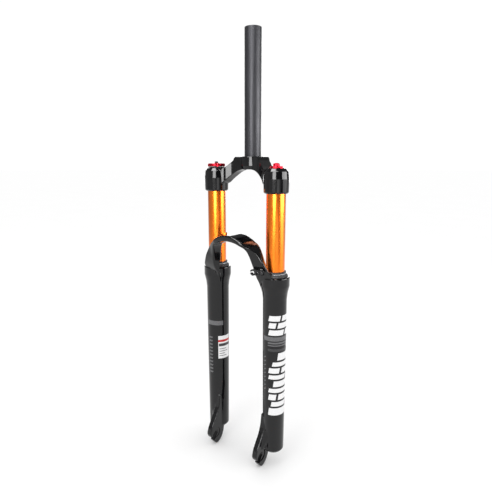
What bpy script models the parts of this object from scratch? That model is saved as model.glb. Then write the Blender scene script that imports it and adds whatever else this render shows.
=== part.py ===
"""Bicycle suspension fork with 32 mm inner tubes and 120 mm of travel, air sprung on the left leg.

The origin is where the steerer's axis meets the crown race seat. +Z runs up the steerer, +X points to
the rider's left (the disc brake side) and the wheel's axle lies towards -Y, in front of the legs.
Dimensions are in millimetres and MM turns them into Blender's metres.
"""

import math

import bmesh
import bpy
from mathutils import Matrix, Vector

MM = 0.001
GAP = 0.3

# Driving dimensions
STEERER_RADIUS = 14.3
STEERER_WALL = 2.4
STEERER_TOP = 208.0
STEERER_BOTTOM = -20.5
HUB_BOTTOM = -22.0
LEG_X = 65.0
LEG_Y = -22.0
TRAVEL = 120.0
INNER_TUBE_RADIUS = 16.0
INNER_TUBE_WALL = 2.0
INNER_TUBE_TOP = -27.0
INNER_TUBE_BOTTOM = -335.0
BOSS_BOTTOM = -60.0
BOSS_TOP = -19.5
BOSS_RADIUS = 21.2
COLLAR_TOP = -198.0
COLLAR_RADIUS = 24.8
LEG_BOTTOM = -520.5
LEG_BORE = 16.6
BORE_FLOOR = INNER_TUBE_BOTTOM - TRAVEL - 37.0
BUSHING_BORE = 17.6
BUSHING_LENGTH = 16.0
UPPER_BUSHING_TOP = -216.0
LOWER_BUSHING_TOP = -312.0
AXLE_Y = -49.0
AXLE_Z = -524.0
AXLE_RADIUS = 4.9
HUB_HALF_WIDTH = 50.0
HUB_SEAT_DEPTH = 0.8
CLAMP_SEAT_DEPTH = 1.2
DROPOUT_OUTER = 59.0
DISC_POST_X = 50.0
DISC_POST_Y = 13.0
DISC_POST_LOWER_Z = -486.0
DISC_POST_PITCH = 74.2
DISC_POST_RADIUS = 7.0
ROD_RADIUS = 5.0
ROD_TOP = -283.0
SEAL_HEAD_HEIGHT = 12.0

FINE = 28
MEDIUM = 18
COARSE = 12
CROWN_SEGMENTS = 24
LEG_SEGMENTS = 24
WIPER_SEGMENTS = 20

SIDES = {"left": 1, "right": -1}


# ---------------------------------------------------------------- materials

def paint(name, colour, roughness, metallic):
    material = bpy.data.materials.get(name)
    if material is None:
        material = bpy.data.materials.new(name)
        material.use_nodes = True
        shader = material.node_tree.nodes["Principled BSDF"]
        shader.inputs["Base Color"].default_value = (*colour, 1.0)
        shader.inputs["Roughness"].default_value = roughness
        shader.inputs["Metallic"].default_value = metallic
    return material


def gloss_black():
    return paint("gloss_black_paint", (0.012, 0.012, 0.014), 0.18, 0.0)


def satin_black():
    return paint("satin_black_anodised", (0.035, 0.035, 0.04), 0.38, 0.8)


def orange_anodised():
    return paint("orange_anodised", (0.92, 0.33, 0.03), 0.22, 1.0)


def red_anodised():
    return paint("red_anodised", (0.62, 0.02, 0.05), 0.28, 0.9)


def bare_aluminium():
    return paint("bare_aluminium", (0.72, 0.72, 0.74), 0.32, 1.0)


def steel():
    return paint("steel", (0.55, 0.56, 0.58), 0.28, 1.0)


def brass():
    return paint("brass", (0.75, 0.55, 0.25), 0.3, 1.0)


def rubber():
    return paint("black_rubber", (0.02, 0.02, 0.02), 0.75, 0.0)


def black_plastic():
    return paint("black_plastic", (0.03, 0.03, 0.035), 0.5, 0.0)


def bushing_polymer():
    return paint("bushing_polymer", (0.35, 0.32, 0.22), 0.6, 0.0)


def oiled_foam():
    return paint("oiled_foam", (0.16, 0.15, 0.13), 0.95, 0.0)


# ---------------------------------------------------------------- mesh tools

def clear_scene():
    for thing in list(bpy.data.objects):
        bpy.data.objects.remove(thing, do_unlink=True)


def add_object(name, mesh, material, location=(0.0, 0.0, 0.0)):
    """Links a mesh whose points are in millimetres about its own origin."""
    mesh.transform(Matrix.Scale(MM, 4))
    mesh.materials.append(material)
    thing = bpy.data.objects.new(name, mesh)
    thing.location = Vector(location) * MM
    bpy.context.scene.collection.objects.link(thing)
    mesh.shade_smooth()
    mesh.set_sharp_from_angle(angle=math.radians(32))
    return thing


def finish_mesh(name, bm):
    bmesh.ops.remove_doubles(bm, verts=bm.verts, dist=1e-4)
    bmesh.ops.recalc_face_normals(bm, faces=bm.faces)
    mesh = bpy.data.meshes.new(name)
    bm.to_mesh(mesh)
    bm.free()
    return mesh


def turned_mesh(name, profile, segments):
    """A solid of revolution about Z from an outline of (radius, height) points.

    An outline that starts and ends on the axis gets a flat face at each end.
    """
    capped = profile[0][0] == 0.0
    outline = profile[1:-1] if capped else profile
    bm = bmesh.new()
    rings = []
    for radius, height in outline:
        ring = []
        for step in range(segments):
            angle = 2 * math.pi * step / segments
            ring.append(bm.verts.new((radius * math.cos(angle), radius * math.sin(angle), height)))
        rings.append(ring)
    last_pair = len(rings) - 1 if capped else len(rings)
    for index in range(last_pair):
        join_rings(bm, rings[index], rings[(index + 1) % len(rings)])
    if capped:
        bm.faces.new(rings[0])
        bm.faces.new(rings[-1])
    return finish_mesh(name, bm)


def join_rings(bm, first, second):
    count = len(first)
    for step in range(count):
        after = (step + 1) % count
        bm.faces.new((first[step], second[step], second[after], first[after]))


def turned(name, profile, material, location, segments=MEDIUM):
    return add_object(name, turned_mesh(name, profile, segments), material, location)


def ring_profile(inner, outer, low, high):
    return [(inner, high), (outer, high), (outer, low), (inner, low)]


def disc_profile(radius, low, high):
    return [(0.0, high), (radius, high), (radius, low), (0.0, low)]


def prism_mesh(name, outline, low, high, axis):
    """An outline extruded along an axis: (y, z) points along X, (x, z) along Y or (x, y) along Z."""
    place = {
        "X": lambda u, v, w: (w, u, v),
        "Y": lambda u, v, w: (u, w, v),
        "Z": lambda u, v, w: (u, v, w),
    }[axis]
    bm = bmesh.new()
    lower = [bm.verts.new(place(u, v, low)) for u, v in outline]
    upper = [bm.verts.new(place(u, v, high)) for u, v in outline]
    bm.faces.new(lower)
    bm.faces.new(upper)
    for index in range(len(outline)):
        after = (index + 1) % len(outline)
        bm.faces.new((lower[index], lower[after], upper[after], upper[index]))
    return finish_mesh(name, bm)


def lofted_mesh(name, sections):
    """A closed skin through sections that all have the same number of points."""
    bm = bmesh.new()
    rows = [[bm.verts.new(point) for point in section] for section in sections]
    bm.faces.new(rows[0])
    bm.faces.new(rows[-1])
    count = len(rows[0])
    for row, following in zip(rows, rows[1:]):
        for index in range(count):
            after = (index + 1) % count
            bm.faces.new((row[index], row[after], following[after], following[index]))
    return finish_mesh(name, bm)


def cylinder_mesh(name, centre, direction, radius, length, segments=MEDIUM):
    """A round bar from centre along direction."""
    mesh = turned_mesh(name, disc_profile(radius, 0.0, length), segments)
    turn = Vector((0, 0, 1)).rotation_difference(Vector(direction)).to_matrix().to_4x4()
    mesh.transform(Matrix.Translation(Vector(centre)) @ turn)
    return mesh


def combine(target, mesh, operation):
    """Adds a hidden tool solid and an exact Boolean modifier that uses it."""
    tool = add_object(target.name + "_tool_%02d" % len(target.modifiers), mesh, target.data.materials[0])
    tool.hide_render = True
    tool.display_type = "WIRE"
    modifier = target.modifiers.new(operation.lower(), "BOOLEAN")
    modifier.operation = operation
    modifier.solver = "EXACT"
    modifier.object = tool
    return tool


def join(target, mesh):
    return combine(target, mesh, "UNION")


def cut(target, mesh):
    return combine(target, mesh, "DIFFERENCE")


def keep_common(target, mesh):
    return combine(target, mesh, "INTERSECT")


def turned_at(name, profile, x, y, segments=MEDIUM):
    mesh = turned_mesh(name, profile, segments)
    mesh.transform(Matrix.Translation((x, y, 0.0)))
    return mesh


def arc(centre, radius, start, end, steps):
    """Points on an arc, its angles in degrees."""
    points = []
    for step in range(steps + 1):
        angle = math.radians(start + (end - start) * step / steps)
        points.append((centre[0] + radius * math.cos(angle), centre[1] + radius * math.sin(angle)))
    return points


def smooth_curve(points, steps):
    """Catmull-Rom points through a list of points of any dimension."""
    padded = [points[0], *points, points[-1]]
    result = []
    for index in range(len(points) - 1):
        before, first, second, after = padded[index:index + 4]
        for step in range(steps):
            t = step / steps
            result.append(tuple(
                0.5 * (2 * b + (c - a) * t + (2 * a - 5 * b + 4 * c - d) * t * t
                       + (3 * b - a - 3 * c + d) * t ** 3)
                for a, b, c, d in zip(before, first, second, after)
            ))
    result.append(tuple(points[-1]))
    return result


def axis_of(side):
    return (SIDES[side] * LEG_X, LEG_Y)


# ---------------------------------------------------------------- crown and steerer

def build_steerer():
    bore = STEERER_RADIUS - STEERER_WALL
    profile = [
        (bore, STEERER_TOP), (STEERER_RADIUS - 0.5, STEERER_TOP), (STEERER_RADIUS, STEERER_TOP - 0.5),
        (STEERER_RADIUS, STEERER_BOTTOM), (bore, STEERER_BOTTOM),
    ]
    turned("steerer_tube", profile, satin_black(), (0, 0, 0), FINE)


def crown_front_outline():
    """The crown seen from the front, from the left arm's underside over the hub to the right one."""
    top = [
        (24.0, -0.6), (26.0, -2.6), (27.5, -6.5), (34.0, -12.3), (41.0, -18.0), (48.0, -21.0), (LEG_X, -22.0),
    ]
    under = [
        (LEG_X, -52.0), (45.5, -46.0), (38.0, -39.0), (29.0, -31.0), (21.0, -25.5), (12.0, -22.5),
        (0.0, -21.5),
    ]
    right_half = [*top, *under]
    left_half = [(-x, z) for x, z in reversed(right_half[:-1])]
    return [*right_half, *left_half]


def crown_plan_outline():
    """The crown seen from above: a hub around the steerer with arms swept forward to the legs."""
    rear = [(LEG_X, LEG_Y + 17.0), (46.0, LEG_Y + 21.0), (34.0, 7.5), (26.0, 13.0), (14.0, 18.5)]
    front = [(-14.0, -17.5), (-28.0, -20.8), (-38.0, -25.6), (-46.0, -31.0), (-LEG_X, -34.0)]
    mirrored_rear = [(-x, y) for x, y in reversed(rear)]
    mirrored_front = [(-x, y) for x, y in reversed(front)]
    return [*rear, *mirrored_rear, *reversed(front), *reversed(mirrored_front)]


def crown_side_outline():
    """The arms from the side as (y, z): their rear face leans forward towards the underside."""
    rear = [(20, 6), (17, -2), (9, -12), (2, -21), (-2, -31), (-6, -39), (-9, -48), (-10, -60)]
    return [(-50, 6), *rear, (-50, -60)]


def boss_profile():
    return [
        (0.0, BOSS_TOP), (16.0, BOSS_TOP), (BOSS_RADIUS - 1.0, BOSS_TOP - 5.0), (BOSS_RADIUS, -36.0),
        (BOSS_RADIUS - 0.6, BOSS_BOTTOM + 2.0), (BOSS_RADIUS - 2.6, BOSS_BOTTOM), (0.0, BOSS_BOTTOM),
    ]


def build_crown():
    mesh = prism_mesh("crown", crown_front_outline(), -60.0, 30.0, "Y")
    crown = add_object("crown", mesh, gloss_black())
    keep_common(crown, prism_mesh("crown_plan", crown_plan_outline(), -70.0, 5.0, "Z"))
    keep_common(crown, prism_mesh("crown_side", crown_side_outline(), -90.0, 90.0, "X"))
    hub = [(0.0, 0.0), (19.8, 0.0), (20.8, -1.0), (21.5, -16.0), (20.0, HUB_BOTTOM), (0.0, HUB_BOTTOM)]
    join(crown, turned_at("crown_hub", hub, 0, 0, CROWN_SEGMENTS))
    for side in SIDES:
        x, y = axis_of(side)
        join(crown, turned_at("crown_boss", boss_profile(), x, y, CROWN_SEGMENTS))
    steerer_bore = disc_profile(STEERER_RADIUS + GAP, -70.0, 10.0)
    cut(crown, turned_at("steerer_bore", steerer_bore, 0, 0, CROWN_SEGMENTS))
    tube_bore = disc_profile(INNER_TUBE_RADIUS + GAP, -70.0, INNER_TUBE_TOP + 2.0)
    cap_bore = disc_profile(CAP_NECK_RADIUS + 0.4, INNER_TUBE_TOP - 4.0, 0.0)
    for side in SIDES:
        x, y = axis_of(side)
        cut(crown, turned_at("tube_bore", tube_bore, x, y, CROWN_SEGMENTS))
        cut(crown, turned_at("cap_bore", cap_bore, x, y, CROWN_SEGMENTS))


def build_inner_tubes():
    for side in SIDES:
        x, y = axis_of(side)
        bore = INNER_TUBE_RADIUS - INNER_TUBE_WALL
        profile = [
            (bore, INNER_TUBE_TOP), (INNER_TUBE_RADIUS, INNER_TUBE_TOP),
            (INNER_TUBE_RADIUS, INNER_TUBE_BOTTOM + 1.0), (INNER_TUBE_RADIUS - 0.8, INNER_TUBE_BOTTOM),
            (bore, INNER_TUBE_BOTTOM),
        ]
        turned(side + "_inner_tube", profile, orange_anodised(), (x, y, 0), FINE)


# ---------------------------------------------------------------- leg tops

CAP_BODY_RADIUS = INNER_TUBE_RADIUS - INNER_TUBE_WALL - GAP
CAP_BOTTOM = -46.0
CAP_NECK_RADIUS = 12.6
CAP_FLANGE_TOP = BOSS_TOP + 1.8
SEAL_GROOVE = (-42.0, -38.6)
CAP_NECK_BOTTOM = INNER_TUBE_TOP - 0.4


def cap_outer_profile(bore):
    """A screwed plug: body in the tube with a seal groove, neck in the boss and a flange on top."""
    low, high = SEAL_GROOVE
    return [
        (bore, CAP_FLANGE_TOP), (14.0, CAP_FLANGE_TOP), (14.6, CAP_FLANGE_TOP - 0.6), (14.6, BOSS_TOP + GAP),
        (CAP_NECK_RADIUS, BOSS_TOP + GAP), (CAP_NECK_RADIUS, CAP_NECK_BOTTOM - 4.0),
        (CAP_BODY_RADIUS, CAP_NECK_BOTTOM - 4.0), (CAP_BODY_RADIUS, high), (CAP_BODY_RADIUS - 2.2, high),
        (CAP_BODY_RADIUS - 2.2, low), (CAP_BODY_RADIUS, low), (CAP_BODY_RADIUS, CAP_BOTTOM),
        (bore, CAP_BOTTOM),
    ]


def seal_ring_profile(inner, outer, low, high):
    corner = 0.5
    return [
        (inner, high), (outer - corner, high), (outer, high - corner), (outer, low + corner),
        (outer - corner, low), (inner, low),
    ]


def build_cap_seals():
    low, high = SEAL_GROOVE
    for side, name in (("left", "air_cap_seal"), ("right", "damper_cap_seal")):
        x, y = axis_of(side)
        profile = seal_ring_profile(CAP_BODY_RADIUS - 1.9, CAP_BODY_RADIUS, low + GAP, high - GAP)
        turned(name, profile, rubber(), (x, y, 0), MEDIUM)


VALVE_BORE = 4.6
VALVE_TOP = -13.2
PIN_RADIUS = 1.0


def build_air_side_top():
    x, y = axis_of("left")
    turned("air_top_cap", cap_outer_profile(VALVE_BORE), red_anodised(), (x, y, 0), MEDIUM)
    body_radius = VALVE_BORE - GAP
    valve = [
        (2.0, VALVE_TOP), (3.6, VALVE_TOP), (3.9, VALVE_TOP - 0.5), (3.9, CAP_FLANGE_TOP),
        (body_radius, CAP_FLANGE_TOP - 0.4), (body_radius, CAP_BOTTOM - 4.0), (1.5, CAP_BOTTOM - 4.0),
        (1.5, -18.0), (2.0, -17.0),
    ]
    turned("air_valve_body", valve, brass(), (x, y, 0), COARSE)
    pin = [
        (0.0, VALVE_TOP - 0.6), (PIN_RADIUS, VALVE_TOP - 0.6), (PIN_RADIUS, -19.0),
        (PIN_RADIUS, CAP_BOTTOM + 2.0), (0.0, CAP_BOTTOM + 2.0),
    ]
    turned("valve_core_pin", [(r, z - VALVE_TOP) for r, z in pin], steel(), (x, y, VALVE_TOP), COARSE)
    build_valve_cap(x, y)


def build_valve_cap(x, y):
    """A small knurled dust cap over the valve stem, open below."""
    low = CAP_FLANGE_TOP + 0.4
    high = VALVE_TOP + 2.8
    cap = turned("valve_dust_cap", [
        (0.0, high - low), (4.2, high - low), (5.6, high - low - 1.4), (5.6, 0.0),
        (3.9 + GAP, 0.0), (3.9 + GAP, VALVE_TOP + 0.8 - low), (0.0, VALVE_TOP + 0.8 - low),
    ], red_anodised(), (x, y, low), 24)
    notches = 6
    for index in range(notches):
        angle = 2 * math.pi * (index + 0.3) / notches
        centre = (x + 6.3 * math.cos(angle), y + 6.3 * math.sin(angle), low - 1.0)
        cut(cap, cylinder_mesh("knurl", centre, (0, 0, 1), 1.3, 14.0, 8))


KNOB_LOW = CAP_FLANGE_TOP + 0.4
KNOB_RADIUS = 15.4
SHAFT_RADIUS = 3.0


def build_damper_side_top():
    x, y = axis_of("right")
    turned("damper_top_cap", cap_outer_profile(SHAFT_RADIUS + GAP), satin_black(), (x, y, 0), MEDIUM)
    knob = turned("lockout_knob", [
        (0.0, 7.4), (3.6, 7.4), (6.4, 6.2), (KNOB_RADIUS - 1.4, 5.8), (KNOB_RADIUS, 4.6), (KNOB_RADIUS, 1.0),
        (KNOB_RADIUS - 1.0, 0.0), (SHAFT_RADIUS + GAP, 0.0), (SHAFT_RADIUS + GAP, 4.0), (0.0, 4.0),
    ], red_anodised(), (x, y, KNOB_LOW), 30)
    for index in range(5):
        angle = 2 * math.pi * (index + 0.37) / 5
        centre = (x + 18.6 * math.cos(angle), y + 18.6 * math.sin(angle), KNOB_LOW - 1.0)
        cut(knob, cylinder_mesh("grip_scallop", centre, (0, 0, 1), 4.6, 12.0, 14))
    cut(knob, cylinder_mesh("screw_bore", (x, y, KNOB_LOW + 3.0), (0, 0, 1), 1.9, 8.0, COARSE))
    screw = turned("lockout_knob_screw", [
        (0.0, 9.2), (2.3, 9.2), (3.0, 8.6), (3.0, 7.4 + GAP), (1.6, 7.4 + GAP), (1.6, 4.3), (0.0, 4.3),
    ], satin_black(), (x, y, KNOB_LOW), COARSE)
    cut(screw, hex_socket_mesh((x, y, KNOB_LOW + 7.9), (0, 0, 1), 1.3, 3.0))
    shaft_bottom = -118.0
    turned("lockout_shaft", disc_profile(SHAFT_RADIUS, shaft_bottom - KNOB_LOW, 4.0 - GAP),
           steel(), (x, y, KNOB_LOW), COARSE)


def hex_socket_mesh(centre, direction, half_across, length):
    outline = [(half_across * math.cos(math.radians(a)), half_across * math.sin(math.radians(a)))
               for a in range(0, 360, 60)]
    mesh = prism_mesh("hex_socket", outline, 0.0, length, "Z")
    turn = Vector((0, 0, 1)).rotation_difference(Vector(direction)).to_matrix().to_4x4()
    mesh.transform(Matrix.Translation(Vector(centre)) @ turn)
    return mesh


# ---------------------------------------------------------------- inside the inner tubes

def build_damper():
    x, y = axis_of("right")
    tube_outer = 12.6
    tube_bore = 11.4
    low = INNER_TUBE_BOTTOM + SEAL_HEAD_HEIGHT + 4.0
    tube = ring_profile(tube_bore, tube_outer, low, CAP_BOTTOM - GAP)
    turned("damper_tube", tube, bare_aluminium(), (x, y, 0), MEDIUM)
    valve_top = -120.0
    turned("compression_valve", [
        (0.0, valve_top + 1.2), (4.0, valve_top + 1.2), (4.0, valve_top + 12.0),
        (tube_bore - GAP, valve_top + 12.0), (tube_bore - GAP, valve_top), (0.0, valve_top),
    ], bare_aluminium(), (x, y, 0), MEDIUM)
    piston_low = ROD_TOP - 12.0
    groove = (piston_low + 4.0, piston_low + 8.0)
    turned("damper_piston", [
        (0.0, ROD_TOP + 2.0), (6.0, ROD_TOP + 2.0), (tube_bore - GAP, ROD_TOP), (tube_bore - GAP, groove[1]),
        (tube_bore - 2.0, groove[1]), (tube_bore - 2.0, groove[0]), (tube_bore - GAP, groove[0]),
        (tube_bore - GAP, piston_low), (ROD_RADIUS - 1.0, piston_low), (ROD_RADIUS - 1.0, ROD_TOP),
        (0.0, ROD_TOP),
    ], bare_aluminium(), (x, y, 0), MEDIUM)
    ring = ring_profile(tube_bore - 2.0 + GAP, tube_bore - 0.15, groove[0] + GAP, groove[1] - GAP)
    turned("damper_piston_ring", ring, bushing_polymer(), (x, y, 0), MEDIUM)


def build_air_piston():
    x, y = axis_of("left")
    bore = INNER_TUBE_RADIUS - INNER_TUBE_WALL
    piston_low = ROD_TOP - 12.0
    groove = (piston_low + 4.0, piston_low + 8.0)
    turned("air_piston", [
        (0.0, ROD_TOP + 2.0), (8.0, ROD_TOP + 2.0), (bore - GAP, ROD_TOP), (bore - GAP, groove[1]),
        (bore - 2.6, groove[1]), (bore - 2.6, groove[0]), (bore - GAP, groove[0]),
        (bore - GAP, piston_low), (ROD_RADIUS - 1.0, piston_low), (ROD_RADIUS - 1.0, ROD_TOP), (0.0, ROD_TOP),
    ], bare_aluminium(), (x, y, 0), MEDIUM)
    seal = seal_ring_profile(bore - 2.6 + GAP, bore - 0.15, groove[0] + GAP, groove[1] - GAP)
    turned("air_piston_seal", seal, rubber(), (x, y, 0), MEDIUM)
    build_negative_spring(x, y, piston_low)


def build_negative_spring(x, y, piston_low):
    """The coil under the air piston that tops the leg out, squeezed at full extension."""
    wire = 1.2
    coil_radius = 8.6
    turns = 3.5
    low = INNER_TUBE_BOTTOM + SEAL_HEAD_HEIGHT + 4.0 + wire + 0.4
    high = piston_low - wire - 0.4
    curve = bpy.data.curves.new("negative_spring", "CURVE")
    curve.dimensions = "3D"
    curve.bevel_depth = wire * MM
    curve.bevel_resolution = 1
    curve.use_fill_caps = True
    steps = int(turns * 10)
    spline = curve.splines.new("POLY")
    spline.points.add(steps)
    for index in range(steps + 1):
        angle = 2 * math.pi * turns * index / steps
        height = low + (high - low) * index / steps
        spline.points[index].co = (
            coil_radius * math.cos(angle) * MM, coil_radius * math.sin(angle) * MM, height * MM, 1.0)
    curve.materials.append(steel())
    thing = bpy.data.objects.new("negative_spring", curve)
    thing.location = (x * MM, y * MM, 0.0)
    bpy.context.scene.collection.objects.link(thing)


def build_rods():
    """Hollow-ended rods that stand on the leg floors and carry the pistons."""
    for side, name in (("left", "air_spring_rod"), ("right", "damper_rod")):
        x, y = axis_of(side)
        low = BORE_FLOOR + GAP
        spigot = ROD_RADIUS - 1.0 - GAP
        shoulder = ROD_TOP - 12.0 - GAP
        turned(name, [
            (0.0, ROD_TOP - GAP), (spigot, ROD_TOP - GAP), (spigot, shoulder), (ROD_RADIUS, shoulder),
            (ROD_RADIUS, low + 14.0), (ROD_RADIUS + 2.4, low + 12.0), (ROD_RADIUS + 2.4, low),
            (3.0 + GAP, low), (3.0 + GAP, low + 18.0), (0.0, low + 18.0),
        ], steel(), (x, y, 0), COARSE)


def build_seal_heads():
    """The guide at the foot of each inner tube and the circlip under it."""
    bore = INNER_TUBE_RADIUS - INNER_TUBE_WALL
    low = INNER_TUBE_BOTTOM + 4.0
    for side, head in (("left", "air_seal_head"), ("right", "damper_rod_guide")):
        x, y = axis_of(side)
        guide = ring_profile(ROD_RADIUS + GAP, bore - GAP, low, low + SEAL_HEAD_HEIGHT - GAP)
        turned(head, guide, bare_aluminium(), (x, y, 0), MEDIUM)
        ring = ring_profile(bore - 3.0, bore - 0.1, low - GAP - 1.2, low - GAP)
        clip = turned(side + "_circlip", ring, steel(), (x, y, 0), MEDIUM)
        mouth = [(x - 3, low - 4), (x + 3, low - 4), (x + 3, low + 4), (x - 3, low + 4)]
        cut(clip, prism_mesh("circlip_mouth", mouth, y, y + 20.0, "Y"))


def build_bumpers():
    """The rubber bottom-out bumper at the foot of each rod."""
    for side in SIDES:
        x, y = axis_of(side)
        low = BORE_FLOOR + GAP + 14.5
        turned(side + "_bottom_bumper", [
            (ROD_RADIUS + GAP, low + 14.0), (8.0, low + 14.0), (9.5, low + 12.5), (8.4, low + 7.0),
            (9.5, low + 1.5), (8.0, low), (ROD_RADIUS + GAP, low),
        ], rubber(), (x, y, 0), COARSE)


# ---------------------------------------------------------------- lower legs

SEAL_POCKET_RADIUS = 20.6
SEAL_POCKET_BOTTOM = UPPER_BUSHING_TOP + 0.6


def leg_outer_profile():
    return [
        (0.0, COLLAR_TOP), (COLLAR_RADIUS - 1.0, COLLAR_TOP), (COLLAR_RADIUS, COLLAR_TOP - 1.0),
        (COLLAR_RADIUS, -214.0), (21.8, -227.0), (20.6, -238.0), (20.2, -340.0), (19.2, -470.0),
        (18.8, LEG_BOTTOM + 4.0), (15.8, LEG_BOTTOM), (0.0, LEG_BOTTOM),
    ]


def leg_bore_profile():
    lower_top = LOWER_BUSHING_TOP + GAP
    lower_end = LOWER_BUSHING_TOP - BUSHING_LENGTH - GAP
    upper_end = UPPER_BUSHING_TOP - BUSHING_LENGTH - GAP
    return [
        (0.0, COLLAR_TOP + 5.0), (SEAL_POCKET_RADIUS, COLLAR_TOP + 5.0),
        (SEAL_POCKET_RADIUS, SEAL_POCKET_BOTTOM), (BUSHING_BORE, SEAL_POCKET_BOTTOM),
        (BUSHING_BORE, upper_end), (LEG_BORE + 0.4, upper_end), (LEG_BORE + 0.4, lower_top),
        (BUSHING_BORE, lower_top), (BUSHING_BORE, lower_end), (LEG_BORE, lower_end),
        (LEG_BORE, BORE_FLOOR + 6.0), (LEG_BORE - 4.0, BORE_FLOOR), (0.0, BORE_FLOOR),
    ]


# The arch's four edges on the left half, as (x, y, z) from the top centre down to the leg.
ARCH_REAR_OUTER = [
    (0, -46, -127.3), (13, -46, -127.6), (23, -46, -129), (33, -46, -133), (41, -45.5, -137.8),
    (47, -45, -142), (52, -45, -148.4), (56.5, -45, -158), (61.4, -45, -170.7), (66.5, -45, -182),
    (70.5, -45, -196), (72, -36.5, -210), (71, -32, -228), (68, -30, -252),
]
ARCH_RIDGE = [
    (0, -74.5, -129.5), (12, -74.5, -131), (22, -73.5, -135), (30, -71.5, -140), (37, -67.5, -145.2),
    (43.7, -63.8, -149.2), (50.3, -59.5, -154), (56.5, -56.8, -161), (63.5, -55.5, -171.5),
    (70.5, -51.8, -183.5), (77.3, -46, -194.1), (80, -39.5, -208), (78, -36, -224), (73.5, -33, -246),
]
ARCH_FRONT_INNER = [
    (0, -73, -139.5), (10, -73, -140.2), (19.5, -72.8, -142.2), (27, -71.5, -145.5), (32.9, -68.5, -149),
    (36.6, -65, -154.5), (39.2, -62.2, -162), (41.5, -59.5, -170.9), (43.5, -56.8, -180),
    (45.2, -52.5, -190.5), (45.3, -48, -200), (45.5, -41.5, -211), (47.5, -37, -226), (53.5, -34, -250),
]
ARCH_REAR_INNER = [
    (0, -46, -142), (10, -46, -142.8), (18.5, -46, -145), (25.5, -46, -148), (30.5, -46, -151.5),
    (33.5, -45, -157), (35.5, -44, -164), (36.8, -43, -172.5), (37.8, -43, -181.5),
    (39, -43, -191), (40.5, -42, -201), (43.5, -36, -212), (47, -31, -228), (53.5, -28, -252),
]


def rounded_section(corners, radius):
    """Each corner of a section replaced by two points that cut it off."""
    section = []
    count = len(corners)
    for index, corner in enumerate(corners):
        here = Vector(corner)
        before = Vector(corners[index - 1])
        after = Vector(corners[(index + 1) % count])
        for neighbour in (before, after):
            reach = min(radius, 0.35 * (neighbour - here).length)
            section.append(tuple(here + (neighbour - here).normalized() * reach))
    return section


def arch_mesh(steps):
    corners_along = (ARCH_REAR_OUTER, ARCH_RIDGE, ARCH_FRONT_INNER, ARCH_REAR_INNER)
    edges = [smooth_curve(edge, steps) for edge in corners_along]
    half = [rounded_section(corners, 2.2) for corners in zip(*edges)]
    mirrored = [[(-x, y, z) for x, y, z in section] for section in reversed(half[1:])]
    return lofted_mesh("arch", [*mirrored, *half])


def dropout_outline():
    """The dropout from the side as (y, z): a neck running forward into a lobe cut off at 45 degrees."""
    neck = [(-38, -452), (-40.5, -470), (-46.5, -486), (-54.5, -498.5), (-60.8, -508.5), (-64, -517)]
    front = smooth_curve(neck, 2)
    nose = smooth_curve([(-64, -517), (-64.8, -522), (-63, -527)], 2)[1:]
    lobe = [(-51.5, -544), (-47, -547.2), (-41, -546), (-34, -541), (-29, -533), (-26.5, -524)]
    heel = smooth_curve(lobe, 2)
    return [*front, *nose, *heel, (-25.0, -512.0), (-12.0, -500.0), (-12.0, -452.0)]


SLOT_DIRECTION = Vector((0, -1, -1)).normalized()


def dropout_slot_mesh(side, inner, outer):
    """The open slot that the axle end drops into."""
    across = Vector((0, 1, -1)).normalized()
    axle = Vector((0, AXLE_Y, AXLE_Z))
    outline = []
    for step in range(9):
        angle = math.pi * step / 8
        outward = across * math.cos(angle) - SLOT_DIRECTION * math.sin(angle)
        outline.append(axle + outward * AXLE_RADIUS)
    outline.append(axle - across * (AXLE_RADIUS + 1.2) + SLOT_DIRECTION * 30.0)
    outline.append(axle + across * (AXLE_RADIUS + 1.2) + SLOT_DIRECTION * 30.0)
    low, high = sorted((side * inner, side * outer))
    return prism_mesh("dropout_slot", [(p.y, p.z) for p in outline], low, high, "X")


def build_casting():
    """One magnesium casting: both lower legs, the arch, the dropouts and the disc brake posts."""
    x, y = axis_of("left")
    left_leg = turned_at("left_leg", leg_outer_profile(), x, y, LEG_SEGMENTS)
    casting = add_object("lower_leg_casting", left_leg, gloss_black())
    x, y = axis_of("right")
    join(casting, turned_at("right_leg", leg_outer_profile(), x, y, LEG_SEGMENTS))
    join(casting, arch_mesh(2))
    plate_inner = HUB_HALF_WIDTH - HUB_SEAT_DEPTH
    for side in SIDES.values():
        low, high = sorted((side * plate_inner, side * DROPOUT_OUTER))
        join(casting, prism_mesh("dropout", dropout_outline(), low, high, "X"))
    join_disc_posts(casting)
    bolt_hole = disc_profile(3.0 + GAP, LEG_BOTTOM - 5.0, BORE_FLOOR + 5.0)
    bolt_seat = disc_profile(8.0, LEG_BOTTOM - 5.0, LEG_BOTTOM + 7.0)
    for side in SIDES:
        x, y = axis_of(side)
        cut(casting, turned_at("leg_bore", leg_bore_profile(), x, y, LEG_SEGMENTS))
        cut(casting, turned_at("foot_bolt_hole", bolt_hole, x, y, COARSE))
        cut(casting, turned_at("foot_bolt_seat", bolt_seat, x, y, MEDIUM))
    for side in SIDES.values():
        cut(casting, dropout_slot_mesh(side, HUB_HALF_WIDTH - 5.0, DROPOUT_OUTER + 5.0))
        clamp_centre = (side * (DROPOUT_OUTER - CLAMP_SEAT_DEPTH), AXLE_Y, AXLE_Z)
        cut(casting, cylinder_mesh("clamp_seat", clamp_centre, (side, 0, 0), 11.5, 8.0, 22))
        hub_centre = (side * HUB_HALF_WIDTH, AXLE_Y, AXLE_Z)
        cut(casting, cylinder_mesh("hub_seat", hub_centre, (-side, 0, 0), 10.0, 8.0, 22))
    add_clip_boss(casting)
    return casting


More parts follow.
